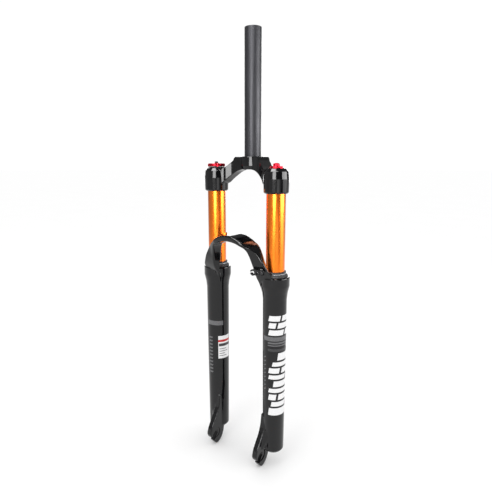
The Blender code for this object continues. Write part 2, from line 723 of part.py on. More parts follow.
def join_disc_posts(casting):
    lower_z = DISC_POST_LOWER_Z
    upper_z = lower_z + DISC_POST_PITCH
    shoulder_y = DISC_POST_Y - 5.0
    web = [
        (LEG_Y, upper_z + 26.0), (LEG_Y + 19.0, upper_z + 14.0), (shoulder_y, upper_z + 6.0),
        (shoulder_y, upper_z - 7.0), (LEG_Y + 24.0, upper_z - 16.0), (LEG_Y + 24.0, lower_z + 16.0),
        (shoulder_y, lower_z + 7.0), (shoulder_y, lower_z - 6.0), (LEG_Y + 19.0, lower_z - 14.0),
        (LEG_Y, lower_z - 22.0),
    ]
    join(casting, prism_mesh("disc_web", web, DISC_POST_X - 3.5, DISC_POST_X + 6.0, "X"))
    post_length = DISC_POST_Y - LEG_Y - 6.0
    for z in (lower_z, upper_z):
        start = (DISC_POST_X, LEG_Y + 6.0, z)
        join(casting, cylinder_mesh("disc_post", start, (0, 1, 0), DISC_POST_RADIUS, post_length, MEDIUM))
        hole = (DISC_POST_X, DISC_POST_Y - 12.0, z)
        cut(casting, cylinder_mesh("disc_post_thread", hole, (0, 1, 0), 2.6, 20.0, 16))


def build_bushings():
    for side in SIDES:
        x, y = axis_of(side)
        for level, top in (("upper", UPPER_BUSHING_TOP), ("lower", LOWER_BUSHING_TOP)):
            profile = ring_profile(INNER_TUBE_RADIUS + GAP, BUSHING_BORE - GAP, top - BUSHING_LENGTH, top)
            turned("%s_%s_bushing" % (side, level), profile, bushing_polymer(), (x, y, 0), WIPER_SEGMENTS)


def build_wipers():
    """Dust wiper with a garter spring in its groove and an oiled foam ring below it."""
    tube = INNER_TUBE_RADIUS + GAP
    body = SEAL_POCKET_RADIUS - GAP
    for side in SIDES:
        x, y = axis_of(side)
        turned(side + "_dust_wiper", [
            (tube, -188.6), (18.4, -189.4), (18.4, -190.8), (17.4, -191.4), (17.4, -192.8), (19.4, -193.4),
            (19.8, -195.0), (21.6, -196.2), (21.6, COLLAR_TOP + GAP), (body, COLLAR_TOP + GAP),
            (body, -205.0), (tube, -205.0),
        ], rubber(), (x, y, 0), WIPER_SEGMENTS)
        garter = ring_profile(17.4 + GAP, 18.9, -192.8 + 0.15, -191.4 - 0.15)
        turned(side + "_garter_spring", garter, steel(), (x, y, 0), WIPER_SEGMENTS)
        foam = ring_profile(tube, body, SEAL_POCKET_BOTTOM + GAP, -205.0 - GAP)
        turned(side + "_foam_ring", foam, oiled_foam(), (x, y, 0), MEDIUM)


def build_foot_bolts():
    for side in SIDES:
        x, y = axis_of(side)
        seat = LEG_BOTTOM + 7.0
        washer = ring_profile(3.0 + GAP, 7.4, seat - 1.3, seat - GAP)
        turned(side + "_foot_washer", washer, brass(), (x, y, 0), MEDIUM)
        head_top = seat - 1.3 - GAP
        head_low = LEG_BOTTOM - 1.0
        bolt = turned(side + "_foot_bolt", [
            (0.0, BORE_FLOOR + 14.0), (3.0, BORE_FLOOR + 14.0), (3.0, head_top), (6.6, head_top),
            (6.6, head_low + 0.6), (6.0, head_low), (0.0, head_low),
        ], satin_black(), (x, y, 0), MEDIUM)
        cut(bolt, hex_socket_mesh((x, y, head_low + 4.0), (0, 0, -1), 2.9, 8.0))


# ---------------------------------------------------------------- hose clip

CLIP_X = 58.0
CLIP_Z = -187.5
CLIP_FACE_Y = -56.0
HOSE_RADIUS = 3.2


def add_clip_boss(casting):
    """A small raised pad with a blind screw hole on the front of the arch's left limb."""
    join(casting, cylinder_mesh("clip_boss", (CLIP_X, CLIP_FACE_Y + 9.0, CLIP_Z), (0, -1, 0), 5.6, 9.0, 16))
    hole_end = (CLIP_X, CLIP_FACE_Y + 8.5, CLIP_Z)
    cut(casting, cylinder_mesh("clip_screw_hole", hole_end, (0, -1, 0), 1.8, 12.0, 10))


def build_hose_clip():
    """A plastic P-clip for the brake hose, screwed to the front of the arch's left limb."""
    back = CLIP_FACE_Y - GAP
    loop_x = CLIP_X - 11.0
    loop = arc((loop_x, CLIP_Z), 5.4, 50, 310, 12)
    rounded_end = arc((CLIP_X + 0.8, CLIP_Z), 5.6, -50, 50, 6)
    outline = [*loop, (CLIP_X + 4.4, CLIP_Z - 4.6), *rounded_end, (CLIP_X + 4.4, CLIP_Z + 4.6)]
    clip = add_object("hose_clip", prism_mesh("hose_clip", outline, back - 5.0, back, "Y"), black_plastic())
    cut(clip, cylinder_mesh("hose_bore", (loop_x, back + 5.0, CLIP_Z), (0, -1, 0), HOSE_RADIUS, 15.0, 16))
    mouth = [
        (loop_x - 9.0, CLIP_Z - 1.1), (loop_x - 1.5, CLIP_Z - 1.1),
        (loop_x - 1.5, CLIP_Z + 1.1), (loop_x - 9.0, CLIP_Z + 1.1),
    ]
    cut(clip, prism_mesh("hose_mouth", mouth, back - 8.0, back + 3.0, "Y"))
    cut(clip, cylinder_mesh("screw_clearance", (CLIP_X, back + 5.0, CLIP_Z), (0, -1, 0), 1.9, 15.0, 16))
    face = back - 5.0 - GAP
    profile = [(0.0, 3.0), (3.0, 3.0), (3.6, 2.4), (3.6, 0.0), (1.5, 0.0), (1.5, -12.0), (0.0, -12.0)]
    mesh = turned_mesh("hose_clip_screw", profile, 20)
    mesh.transform(Matrix.Rotation(math.radians(90), 4, "X"))
    screw = add_object("hose_clip_screw", mesh, steel(), (CLIP_X, face, CLIP_Z))
    cut(screw, hex_socket_mesh((CLIP_X, face - 1.2, CLIP_Z), (0, -1, 0), 1.6, 4.0))


# ---------------------------------------------------------------- assembly

LOWER_PIECES = (
    "lower_leg_casting", "left_dust_wiper", "right_dust_wiper", "left_garter_spring", "right_garter_spring",
    "left_foam_ring", "right_foam_ring", "left_upper_bushing", "right_upper_bushing", "left_lower_bushing",
    "right_lower_bushing", "left_foot_bolt", "right_foot_bolt", "left_foot_washer", "right_foot_washer",
    "air_spring_rod", "air_piston", "air_piston_seal", "negative_spring", "damper_rod", "damper_piston",
    "damper_piston_ring", "left_bottom_bumper", "right_bottom_bumper", "hose_clip", "hose_clip_screw",
)


def hang_lowers_on_slide():
    """Everything that slides up as the fork compresses hangs from one empty on the travel axis."""
    slide = bpy.data.objects.new("travel_slide", None)
    slide.location = (0.0, LEG_Y * MM, COLLAR_TOP * MM)
    bpy.context.scene.collection.objects.link(slide)
    bpy.context.view_layer.update()
    for name in LOWER_PIECES:
        piece = bpy.data.objects[name]
        piece.parent = slide
        piece.matrix_parent_inverse = slide.matrix_world.inverted()


def build_fork():
    clear_scene()
    build_steerer()
    build_crown()
    build_inner_tubes()
    build_cap_seals()
    build_air_side_top()
    build_damper_side_top()
    build_damper()
    build_air_piston()
    build_rods()
    build_seal_heads()
    build_bumpers()
    build_casting()
    build_bushings()
    build_wipers()
    build_foot_bolts()
    build_hose_clip()
    hang_lowers_on_slide()


build_fork()
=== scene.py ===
import math

import bmesh
import bpy
from mathutils import Matrix, Vector


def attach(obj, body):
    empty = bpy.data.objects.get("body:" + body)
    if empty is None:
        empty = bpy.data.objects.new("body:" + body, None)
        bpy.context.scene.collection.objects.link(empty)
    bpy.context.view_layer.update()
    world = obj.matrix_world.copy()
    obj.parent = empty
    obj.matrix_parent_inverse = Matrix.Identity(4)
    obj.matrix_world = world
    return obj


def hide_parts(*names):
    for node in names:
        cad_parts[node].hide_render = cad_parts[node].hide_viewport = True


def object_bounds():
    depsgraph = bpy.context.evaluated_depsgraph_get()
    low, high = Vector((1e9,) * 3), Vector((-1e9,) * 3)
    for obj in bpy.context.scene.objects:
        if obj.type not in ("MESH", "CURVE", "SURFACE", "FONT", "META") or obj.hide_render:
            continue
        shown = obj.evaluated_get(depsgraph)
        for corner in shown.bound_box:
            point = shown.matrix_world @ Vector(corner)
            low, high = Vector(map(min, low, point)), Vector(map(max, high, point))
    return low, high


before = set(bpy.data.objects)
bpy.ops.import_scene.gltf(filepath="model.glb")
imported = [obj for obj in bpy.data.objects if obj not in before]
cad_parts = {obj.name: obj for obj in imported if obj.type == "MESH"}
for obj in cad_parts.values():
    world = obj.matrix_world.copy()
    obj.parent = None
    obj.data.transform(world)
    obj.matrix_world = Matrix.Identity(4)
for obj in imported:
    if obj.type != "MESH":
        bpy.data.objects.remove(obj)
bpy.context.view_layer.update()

# Pieces are modelled in millimetres, and make_object turns them to metres. The studio is in metres.
MM = 0.001
SIDES = {"left": 1, "right": -1}
UP = (0, 0, 1)
FORWARD = (0, -1, 0)
LEG_X = 65.0                        # from the steerer's axis to a leg's axis, sideways
LEG_Y = -22.0                       # and forward
LEG_TOP = -198.0
LEG_BOTTOM = -520.5
DISC_POSTS = (-486.0, -411.8)       # heights of the two disc brake posts
DISC_POST_X = 50.0
CLIP_X = 58.0                       # the screw of the brake hose clip
CLIP_Z = -187.5
ROUND = 96                          # sides of a large turned piece
SMALL_ROUND = 48
TINY_ROUND = 24
SHARP_ANGLE = math.radians(32)      # edges that turn by more than this are drawn sharp


# ---------------------------------------------------------------- materials

class Nodes:
    """A Principled material and short ways to add the nodes that drive it."""

    MIX_FACTOR, MIX_FIRST, MIX_SECOND, MIX_COLOUR = 0, 6, 7, 2      # sockets of a colour Mix node
    NOISE_LOW, NOISE_HIGH = 0.3, 0.7                                # where most noise values lie

    def __init__(self, name, colour, roughness, metallic=0.0, **values):
        self.material = bpy.data.materials.new("look_" + name)
        self.material.use_nodes = True
        self.tree = self.material.node_tree
        self.shader = self.tree.nodes["Principled BSDF"]
        self.colour = colour
        self.shader.inputs["Base Color"].default_value = (*colour, 1.0)
        self.shader.inputs["Roughness"].default_value = roughness
        self.shader.inputs["Metallic"].default_value = metallic
        for key, value in values.items():
            self.shader.inputs[key.replace("_", " ").title().replace("Ior", "IOR")].default_value = value
        self.place = self.tree.nodes.new("ShaderNodeTexCoord")

    def mapped(self, scale):
        """Object coordinates, stretched along each axis."""
        mapping = self.tree.nodes.new("ShaderNodeMapping")
        mapping.inputs["Scale"].default_value = scale
        self.tree.links.new(self.place.outputs["Object"], mapping.inputs["Vector"])
        return mapping.outputs["Vector"]

    def noise(self, scale, detail, stretch=(1.0, 1.0, 1.0)):
        node = self.tree.nodes.new("ShaderNodeTexNoise")
        node.inputs["Scale"].default_value = scale
        node.inputs["Detail"].default_value = detail
        self.tree.links.new(self.mapped(stretch), node.inputs["Vector"])
        return node.outputs["Fac"]

    def spread(self, value, low, high):
        """A noise value carried over to the range from low to high."""
        node = self.tree.nodes.new("ShaderNodeMapRange")
        ends = {"From Min": self.NOISE_LOW, "From Max": self.NOISE_HIGH, "To Min": low, "To Max": high}
        for key, number in ends.items():
            node.inputs[key].default_value = number
        self.tree.links.new(value, node.inputs["Value"])
        return node.outputs["Result"]

    def tint(self, value, other):
        """Base colour runs from the material's own to another one as value rises."""
        node = self.tree.nodes.new("ShaderNodeMix")
        node.data_type = "RGBA"
        node.inputs[self.MIX_FIRST].default_value = (*self.colour, 1.0)
        node.inputs[self.MIX_SECOND].default_value = (*other, 1.0)
        self.tree.links.new(self.spread(value, 0.0, 1.0), node.inputs[self.MIX_FACTOR])
        self.tree.links.new(node.outputs[self.MIX_COLOUR], self.shader.inputs["Base Color"])

    def rough(self, value, low, high):
        self.tree.links.new(self.spread(value, low, high), self.shader.inputs["Roughness"])

    def bump(self, value, strength, distance):
        node = self.tree.nodes.new("ShaderNodeBump")
        node.inputs["Strength"].default_value = strength
        node.inputs["Distance"].default_value = distance * MM
        self.tree.links.new(value, node.inputs["Height"])
        self.tree.links.new(node.outputs["Normal"], self.shader.inputs["Normal"])


def gloss_paint():
    """Sprayed gloss black paint: faint orange peel and a few hazy patches."""
    kit = Nodes("gloss_paint", (0.002, 0.002, 0.0024), 0.08, specular_ior_level=0.38)
    kit.tint(kit.noise(90.0, 4.0), (0.0045, 0.0045, 0.0052))
    kit.rough(kit.noise(45.0, 4.0), 0.06, 0.12)
    kit.bump(kit.noise(900.0, 2.0), 0.05, 0.05)
    return kit.material


def steerer_black():
    """Satin black over drawn tube: fine lengthwise streaks."""
    kit = Nodes("steerer_black", (0.02, 0.02, 0.0235), 0.4, 0.5)
    kit.tint(kit.noise(160.0, 4.0, (1.0, 1.0, 0.06)), (0.038, 0.038, 0.044))
    kit.rough(kit.noise(260.0, 3.0, (1.0, 1.0, 0.1)), 0.36, 0.5)
    kit.bump(kit.noise(2200.0, 2.0), 0.12, 0.04)
    return kit.material


def orange_anodised():
    """Dyed anodised tube, ground round its axis."""
    kit = Nodes("orange_anodised", (0.95, 0.215, 0.009), 0.3, 1.0, coat_weight=0.35, coat_roughness=0.22)
    kit.tint(kit.noise(30.0, 3.0, (1.0, 1.0, 0.25)), (0.88, 0.18, 0.007))
    kit.rough(kit.noise(25.0, 2.0, (1.0, 1.0, 3.0)), 0.23, 0.28)
    kit.bump(kit.noise(60.0, 2.0, (0.3, 0.3, 3.0)), 0.01, 0.01)
    return kit.material


def red_anodised():
    """Bright red anodised alloy of the knob, the air cap and the dust cap."""
    kit = Nodes("red_anodised", (0.5, 0.008, 0.022), 0.26, 0.85)
    kit.tint(kit.noise(300.0, 3.0), (0.34, 0.005, 0.014))
    kit.rough(kit.noise(500.0, 3.0), 0.2, 0.34)
    kit.bump(kit.noise(2600.0, 2.0), 0.08, 0.03)
    return kit.material


def black_metal():
    """Blackened screws and the black anodised cap."""
    kit = Nodes("black_metal", (0.012, 0.012, 0.014), 0.32, 0.5)
    kit.tint(kit.noise(400.0, 3.0), (0.03, 0.03, 0.034))
    kit.rough(kit.noise(500.0, 3.0), 0.25, 0.42)
    kit.bump(kit.noise(2600.0, 2.0), 0.1, 0.03)
    return kit.material


def rubber():
    """Dull rubber of the wipers, seals and bumpers."""
    kit = Nodes("rubber", (0.012, 0.012, 0.013), 0.62, 0.0, specular_ior_level=0.35)
    kit.tint(kit.noise(700.0, 4.0), (0.026, 0.026, 0.027))
    kit.rough(kit.noise(350.0, 3.0), 0.52, 0.75)
    kit.bump(kit.noise(3500.0, 2.0), 0.2, 0.04)
    return kit.material


def moulded_plastic():
    """Fine-grained black plastic of the hose clip."""
    kit = Nodes("moulded_plastic", (0.01, 0.01, 0.0115), 0.5, specular_ior_level=0.3)
    kit.tint(kit.noise(500.0, 3.0), (0.028, 0.028, 0.03))
    kit.rough(kit.noise(700.0, 3.0), 0.46, 0.6)
    kit.bump(kit.noise(3000.0, 3.0), 0.25, 0.05)
    return kit.material


def metal(name, colour, other, low, high):
    """Bare machined metal, whose roughness runs from low to high."""
    kit = Nodes(name, colour, low, 1.0)
    kit.tint(kit.noise(260.0, 4.0), other)
    kit.rough(kit.noise(420.0, 3.0), low, high)
    kit.bump(kit.noise(1800.0, 2.0), 0.1, 0.03)
    return kit.material


def soft_ring(name, colour, other, fineness):
    """Matt open-grained stuff, such as a bushing's lining or an oiled foam ring."""
    kit = Nodes(name, colour, 0.7)
    kit.tint(kit.noise(fineness, 5.0), other)
    kit.rough(kit.noise(fineness, 3.0), 0.6, 0.95)
    kit.bump(kit.noise(fineness * 2.0, 4.0), 0.4, 0.15)
    return kit.material


def decal_ink(name, colour, other):
    """Printed film: slight mottling of the ink and a soft sheen."""
    kit = Nodes(name, colour, 0.3)
    kit.tint(kit.noise(700.0, 4.0), other)
    kit.rough(kit.noise(500.0, 3.0), 0.22, 0.4)
    kit.bump(kit.noise(2500.0, 2.0), 0.05, 0.02)
    return kit.material


PAINT = gloss_paint()
STEERER = steerer_black()
ORANGE = orange_anodised()
RED = red_anodised()
BLACK_METAL = black_metal()
RUBBER = rubber()
PLASTIC = moulded_plastic()
ALUMINIUM = metal("aluminium", (0.72, 0.72, 0.74), (0.6, 0.6, 0.62), 0.24, 0.38)
STEEL = metal("steel", (0.5, 0.51, 0.53), (0.38, 0.39, 0.41), 0.2, 0.36)
BRASS = metal("brass", (0.74, 0.52, 0.2), (0.6, 0.4, 0.15), 0.24, 0.4)
POLYMER = soft_ring("polymer", (0.35, 0.32, 0.22), (0.28, 0.25, 0.17), 400.0)
FOAM = soft_ring("foam", (0.16, 0.15, 0.13), (0.09, 0.085, 0.07), 900.0)
WHITE_INK = decal_ink("white_ink", (0.84, 0.84, 0.84), (0.76, 0.76, 0.77))
GREY_INK = decal_ink("grey_ink", (0.13, 0.13, 0.135), (0.1, 0.1, 0.105))
DARK_INK = decal_ink("dark_ink", (0.035, 0.035, 0.038), (0.028, 0.028, 0.03))
RED_INK = decal_ink("red_ink", (0.55, 0.02, 0.02), (0.45, 0.015, 0.015))

FINISHES = {
    "steerer_satin_black": STEERER,
    "gloss_black_paint": PAINT,
    "orange_anodised": ORANGE,
    "red_anodised": RED,
    "satin_black_anodised": BLACK_METAL,
    "satin_black_steel": BLACK_METAL,
    "bare_aluminium": ALUMINIUM,
    "steel": STEEL,
    "brass": BRASS,
    "black_rubber": RUBBER,
    "black_plastic": PLASTIC,
    "bushing_polymer": POLYMER,
    "oiled_foam": FOAM,
}


def finish_cad_nodes():
    """Every carried-over node takes the look of its material slot."""
    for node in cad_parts.values():
        slots = [s.name.split(".")[0] for s in node.data.materials if s]
        look = FINISHES.get(slots[0] if slots else "", STEEL)
        node.data.materials.clear()
        node.data.materials.append(look)
        node.data.shade_smooth()
        node.data.set_sharp_from_angle(angle=SHARP_ANGLE)


# ---------------------------------------------------------------- mesh tools, in millimetres

def placed(name, data):
    """A new object that holds the data, in the scene."""
    thing = bpy.data.objects.new(name, data)
    bpy.context.scene.collection.objects.link(thing)
    return thing


def make_object(name, mesh, look, body, stands_for=()):
    """A finished piece: scaled to metres, shaded, riding on its body and standing for CAD nodes."""
    mesh.transform(Matrix.Scale(MM, 4))
    mesh.materials.clear()
    mesh.materials.append(look)
    mesh.shade_smooth()
    mesh.set_sharp_from_angle(angle=SHARP_ANGLE)
    thing = placed(name, mesh)
    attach(thing, body)
    if stands_for:
        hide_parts(*stands_for)
    return thing


def mesh_from(name, bm):
    mesh = bpy.data.meshes.new(name)
    bm.to_mesh(mesh)
    bm.free()
    return mesh


def finish_mesh(name, bm):
    """A mesh with its doubled points merged and its faces pointing out."""
    bmesh.ops.remove_doubles(bm, verts=bm.verts, dist=1e-4)
    bmesh.ops.recalc_face_normals(bm, faces=bm.faces)
    return mesh_from(name, bm)


def smooth_curve(points, steps):
    """Catmull-Rom points through a list of points of any dimension."""
    padded = [points[0], *points, points[-1]]
    result = []
    for index in range(len(points) - 1):
        before, first, second, after = padded[index:index + 4]
        for step in range(steps):
            t = step / steps
            result.append(tuple(
                0.5 * (2 * b + (c - a) * t + (2 * a - 5 * b + 4 * c - d) * t * t
                       + (3 * b - a - 3 * c + d) * t ** 3)
                for a, b, c, d in zip(before, first, second, after)
            ))
    result.append(tuple(points[-1]))
    return result


def bend(start, corner, end, steps):
    """Points of a short curve from start to end that leaves a corner out."""
    points = []
    for step in range(steps + 1):
        t = step / steps
        points.append(tuple(start * (1 - t) ** 2 + corner * 2 * t * (1 - t) + end * t * t))
    return points


def rounded_profile(points, radius):
    """An outline with its corners rounded, each by at most a third of the sides beside it."""
    result = []
    count = len(points)
    for index, corner in enumerate(points):
        here = Vector(corner)
        before = Vector(points[index - 1])
        after = Vector(points[(index + 1) % count])
        if corner[0] == 0.0:
            result.append(corner)
            continue
        reach = min(radius, 0.34 * (before - here).length, 0.34 * (after - here).length)
        start = here + (before - here).normalized() * reach
        end = here + (after - here).normalized() * reach
        result += bend(start, here, end, 4)
    return result


def sleeve_outline(inner, outer, top, bottom):
    return [(inner, top), (outer, top), (outer, bottom), (inner, bottom)]


def turned_mesh(name, profile, x=0.0, y=0.0, z=0.0, segments=ROUND):
    """A closed solid of revolution; an outline that starts and ends on the axis is capped there."""
    capped = profile[0][0] == 0.0
    outline = profile[1:-1] if capped else profile
    bm = bmesh.new()
    rings = []
    for radius, height in outline:
        ring = []
        for step in range(segments):
            angle = 2 * math.pi * step / segments
            point = (x + radius * math.cos(angle), y + radius * math.sin(angle), z + height)
            ring.append(bm.verts.new(point))
        rings.append(ring)
    for index in range(len(rings) - (1 if capped else 0)):
        first, second = rings[index], rings[(index + 1) % len(rings)]
        for step in range(segments):
            after = (step + 1) % segments
            bm.faces.new((first[step], second[step], second[after], first[after]))
    if capped:
        bm.faces.new(rings[0])
        bm.faces.new(rings[-1])
    return finish_mesh(name, bm)


def prism_mesh(name, outline, low, high, axis):
    """An outline extruded along an axis: (y, z) points along X, (x, z) along Y or (x, y) along Z."""
    place = {
        "X": lambda u, v, w: (w, u, v),
        "Y": lambda u, v, w: (u, w, v),
        "Z": lambda u, v, w: (u, v, w),
    }[axis]
    bm = bmesh.new()
    lower = [bm.verts.new(place(u, v, low)) for u, v in outline]
    upper = [bm.verts.new(place(u, v, high)) for u, v in outline]
    bm.faces.new(lower)
    bm.faces.new(upper)
    for index in range(len(outline)):
        after = (index + 1) % len(outline)
        bm.faces.new((lower[index], lower[after], upper[after], upper[index]))
    return finish_mesh(name, bm)


def lofted_mesh(name, sections):
    """A closed skin through sections that have the same number of points."""
    bm = bmesh.new()
    rows = [[bm.verts.new(point) for point in section] for section in sections]
    bm.faces.new(rows[0])
    bm.faces.new(rows[-1])
    count = len(rows[0])
    for row, following in zip(rows, rows[1:]):
        for index in range(count):
            after = (index + 1) % count
            bm.faces.new((row[index], row[after], following[after], following[index]))
    return finish_mesh(name, bm)


def aimed(mesh, centre, direction):
    """The mesh with its Z axis turned to a direction and its origin moved to a centre."""
    turn = Vector((0, 0, 1)).rotation_difference(Vector(direction)).to_matrix().to_4x4()
    mesh.transform(Matrix.Translation(Vector(centre)) @ turn)
    return mesh


def bar_mesh(name, centre, direction, radius, length, segments=SMALL_ROUND):
    """A round bar from a centre along a direction."""
    outline = [(0.0, length), (radius, length), (radius, 0.0), (0.0, 0.0)]
    return aimed(turned_mesh(name, outline, segments=segments), centre, direction)


def hex_mesh(centre, direction, radius, length):
    """A six-sided bar, as for a key's socket; the radius is to its corners."""
    outline = [(radius * math.cos(a * math.pi / 3), radius * math.sin(a * math.pi / 3)) for a in range(6)]
    return aimed(prism_mesh("hex", outline, 0.0, length, "Z"), centre, direction)


def ring_of_cuts(centre, distance, count, turn, radius, length, segments):
    """Steps for carved that cut upright notches at even spaces round a centre."""
    x, y, z = centre
    steps = []
    for index in range(count):
        angle = 2 * math.pi * (index + turn) / count
        place = (x + distance * math.cos(angle), y + distance * math.sin(angle), z)
        steps.append(("DIFFERENCE", bar_mesh("notch", place, UP, radius, length, segments)))
    return steps


def settled(thing, name):
    """The mesh that an object's modifiers give, after which the object is gone."""
    bpy.context.view_layer.update()
    result = bpy.data.meshes.new_from_object(thing.evaluated_get(bpy.context.evaluated_depsgraph_get()))
    result.name = name
    bpy.data.objects.remove(thing, do_unlink=True)
    return result


def carved(name, mesh, steps):
    """Exact Booleans with (operation, mesh) pairs, one after another."""
    thing = placed("temporary", mesh)
    tools = []
    for operation, tool_mesh in steps:
        tool = placed("temporary", tool_mesh)
        tools.append(tool)
        modifier = thing.modifiers.new(operation, "BOOLEAN")
        modifier.operation = operation
        modifier.solver = "EXACT"
        modifier.object = tool
    result = settled(thing, name)
    for tool in tools:
        bpy.data.objects.remove(tool, do_unlink=True)
    return result


def melted(name, mesh, voxel, passes):
    """The mesh as one skin whose inner corners are filled and outer corners softened, as in a casting."""
    thing = placed("temporary", mesh)
    remesh = thing.modifiers.new("skin", "REMESH")
    remesh.mode = "VOXEL"
    remesh.voxel_size = voxel
    smooth = thing.modifiers.new("soften", "SMOOTH")
    smooth.factor = 0.5
    smooth.iterations = passes
    return settled(thing, name)


def joined(name, meshes):
    """Several meshes as one, without a Boolean."""
    bm = bmesh.new()
    for mesh in meshes:
        bm.from_mesh(mesh)
        bpy.data.meshes.remove(mesh)
    return mesh_from(name, bm)


def soften_edges(thing, width):
    """A small round along every edge of a finished piece."""
    bevel = thing.modifiers.new("edges", "BEVEL")
    bevel.width = width * MM
    bevel.segments = 3
    bevel.limit_method = "ANGLE"
    bevel.angle_limit = math.radians(40)
    bevel.harden_normals = True


def axis_of(side):
    """Where the axis of a leg is in plan."""
    return SIDES[side] * LEG_X, LEG_Y


# ---------------------------------------------------------------- steerer, crown and tubes

def build_steerer():
    outline = rounded_profile(sleeve_outline(inner=11.9, outer=14.3, top=208.0, bottom=-20.5), 0.5)
    make_object("steerer", turned_mesh("steerer", outline), STEERER, "chassis", ["steerer_tube"])


def crown_solid():
    """The arms, cut from three outlines, with the hub and the two bosses standing in them."""
    top = [(24, -0.6), (26, -2.6), (27.5, -6.5), (34, -12.3), (41, -18), (48, -21), (LEG_X, -22)]
    under = [(LEG_X, -52), (45.5, -46), (38, -39), (29, -31), (21, -25.5), (12, -22.5), (0, -21.5)]
    half = [*top[:3], *smooth_curve(top[3:], 4), *smooth_curve(under, 4)]
    front = [*half, *[(-x, z) for x, z in reversed(half[:-1])]]
    rear_edge = smooth_curve([(LEG_X, -5), (46, -1), (34, 7.5), (26, 13), (14, 18.5)], 4)
    front_edge = smooth_curve([(LEG_X, -34), (46, -31), (38, -25.6), (28, -20.8), (14, -17.5)], 4)
    plan = [*rear_edge, *[(-x, y) for x, y in reversed(rear_edge)]]
    plan += [(-x, y) for x, y in front_edge]
    plan += list(reversed(front_edge))
    rear = [(20, 6), (17, -2), (9, -12), (2, -21), (-2, -31), (-6, -39), (-9, -48), (-10, -60)]
    side = [(-50, 6), *smooth_curve(rear, 4), (-50, -60)]
    hub = [(0, 0), (19.8, 0), (20.8, -1), (21.5, -16), (20, -22), (0, -22)]
    boss = [(0, -19.5), (16, -19.5), (20.2, -24.5), (21.2, -36), (20.6, -58), (18.6, -60), (0, -60)]
    steps = [
        ("INTERSECT", prism_mesh("plan", plan, -70.0, 5.0, "Z")),
        ("INTERSECT", prism_mesh("side", side, -90.0, 90.0, "X")),
        ("UNION", turned_mesh("hub", hub)),
    ]
    for name in SIDES:
        x, y = axis_of(name)
        steps.append(("UNION", turned_mesh("boss", boss, x, y)))
    return carved("crown_solid", prism_mesh("front", front, -60.0, 30.0, "Y"), steps)


def build_crown():
    """The forging: its arms run softly into the hub and bosses, and its bores are cut sharp."""
    skin = melted("crown_skin", crown_solid(), voxel=0.5, passes=3)
    cuts = [bar_mesh("bore", (0, 0, -70), UP, 14.6, 90.0, ROUND)]
    outline = [(0.0, 5.0), (13.0, 5.0), (13.0, -25.0), (16.3, -25.0), (16.3, -70.0), (0.0, -70.0)]
    for name in SIDES:
        x, y = axis_of(name)
        cuts.append(turned_mesh("bore", outline, x, y))
    mesh = carved("crown_cast", skin, [("DIFFERENCE", joined("bores", cuts))])
    make_object("crown_forging", mesh, PAINT, "chassis", ["crown"])


def build_tubes():
    outline = rounded_profile(sleeve_outline(inner=14.0, outer=16.0, top=-27.0, bottom=-335.0), 0.6)
    for name in SIDES:
        x, y = axis_of(name)
        mesh = turned_mesh("tube", outline, x, y)
        make_object(name + "_stanchion", mesh, ORANGE, "chassis", [name + "_inner_tube"])


# ---------------------------------------------------------------- caps and knob

CAP_BODY = [
    (12.6, -19.2), (12.6, -31.4), (13.7, -31.4), (13.7, -38.6), (11.5, -38.6), (11.5, -42.0),
    (13.7, -42.0), (13.7, -46.0),
]


def build_air_cap(x, y):
    """The air spring's cap: a raised ring with eight wrench notches, over a body with a seal groove."""
    bore = 4.6
    ring = [(bore, -17.7), (6.4, -17.7), (6.4, -15.9), (10.4, -15.9), (10.4, -18.2), (12.6, -18.8)]
    outline = rounded_profile([*ring, *CAP_BODY, (bore, -46.0)], 0.4)
    notches = ring_of_cuts((x, y, -18.0), 11.0, 8, 0.2, 1.5, 6.0, TINY_ROUND)
    mesh = carved("cap", turned_mesh("cap", outline, x, y), notches)
    make_object("air_cap", mesh, RED, "chassis", ["air_top_cap"])


def build_air_valve(x, y):
    stem = [
        (2.0, -13.2), (3.9, -13.2), (3.9, -17.7), (4.3, -18.1), (4.3, -50.0), (1.5, -50.0), (1.5, -18.0),
        (2.0, -17.0),
    ]
    mesh = turned_mesh("stem", rounded_profile(stem, 0.3), x, y, segments=SMALL_ROUND)
    make_object("air_valve", mesh, BRASS, "chassis", ["air_valve_body"])


def build_dust_cap(x, y):
    """The small cap over the valve, with six finger notches."""
    cap = [(0.0, -10.9), (3.4, -10.9), (5.6, -12.4), (5.6, -17.3), (4.2, -17.3), (4.2, -12.4), (0.0, -12.4)]
    notches = ring_of_cuts((x, y, -20.0), 6.3, 6, 0.3, 1.3, 14.0, TINY_ROUND)
    mesh = carved("cap", turned_mesh("cap", rounded_profile(cap, 0.9), x, y), notches)
    make_object("dust_cap", mesh, RED, "valve_cap", ["valve_dust_cap"])


def build_damper_cap(x, y):
    bore = 3.3
    flange = [(bore, -17.7), (14.6, -17.7), (14.6, -19.2)]
    outline = rounded_profile([*flange, *CAP_BODY, (bore, -46.0)], 0.4)
    make_object("damper_cap", turned_mesh("cap", outline, x, y), BLACK_METAL, "chassis", ["damper_top_cap"])


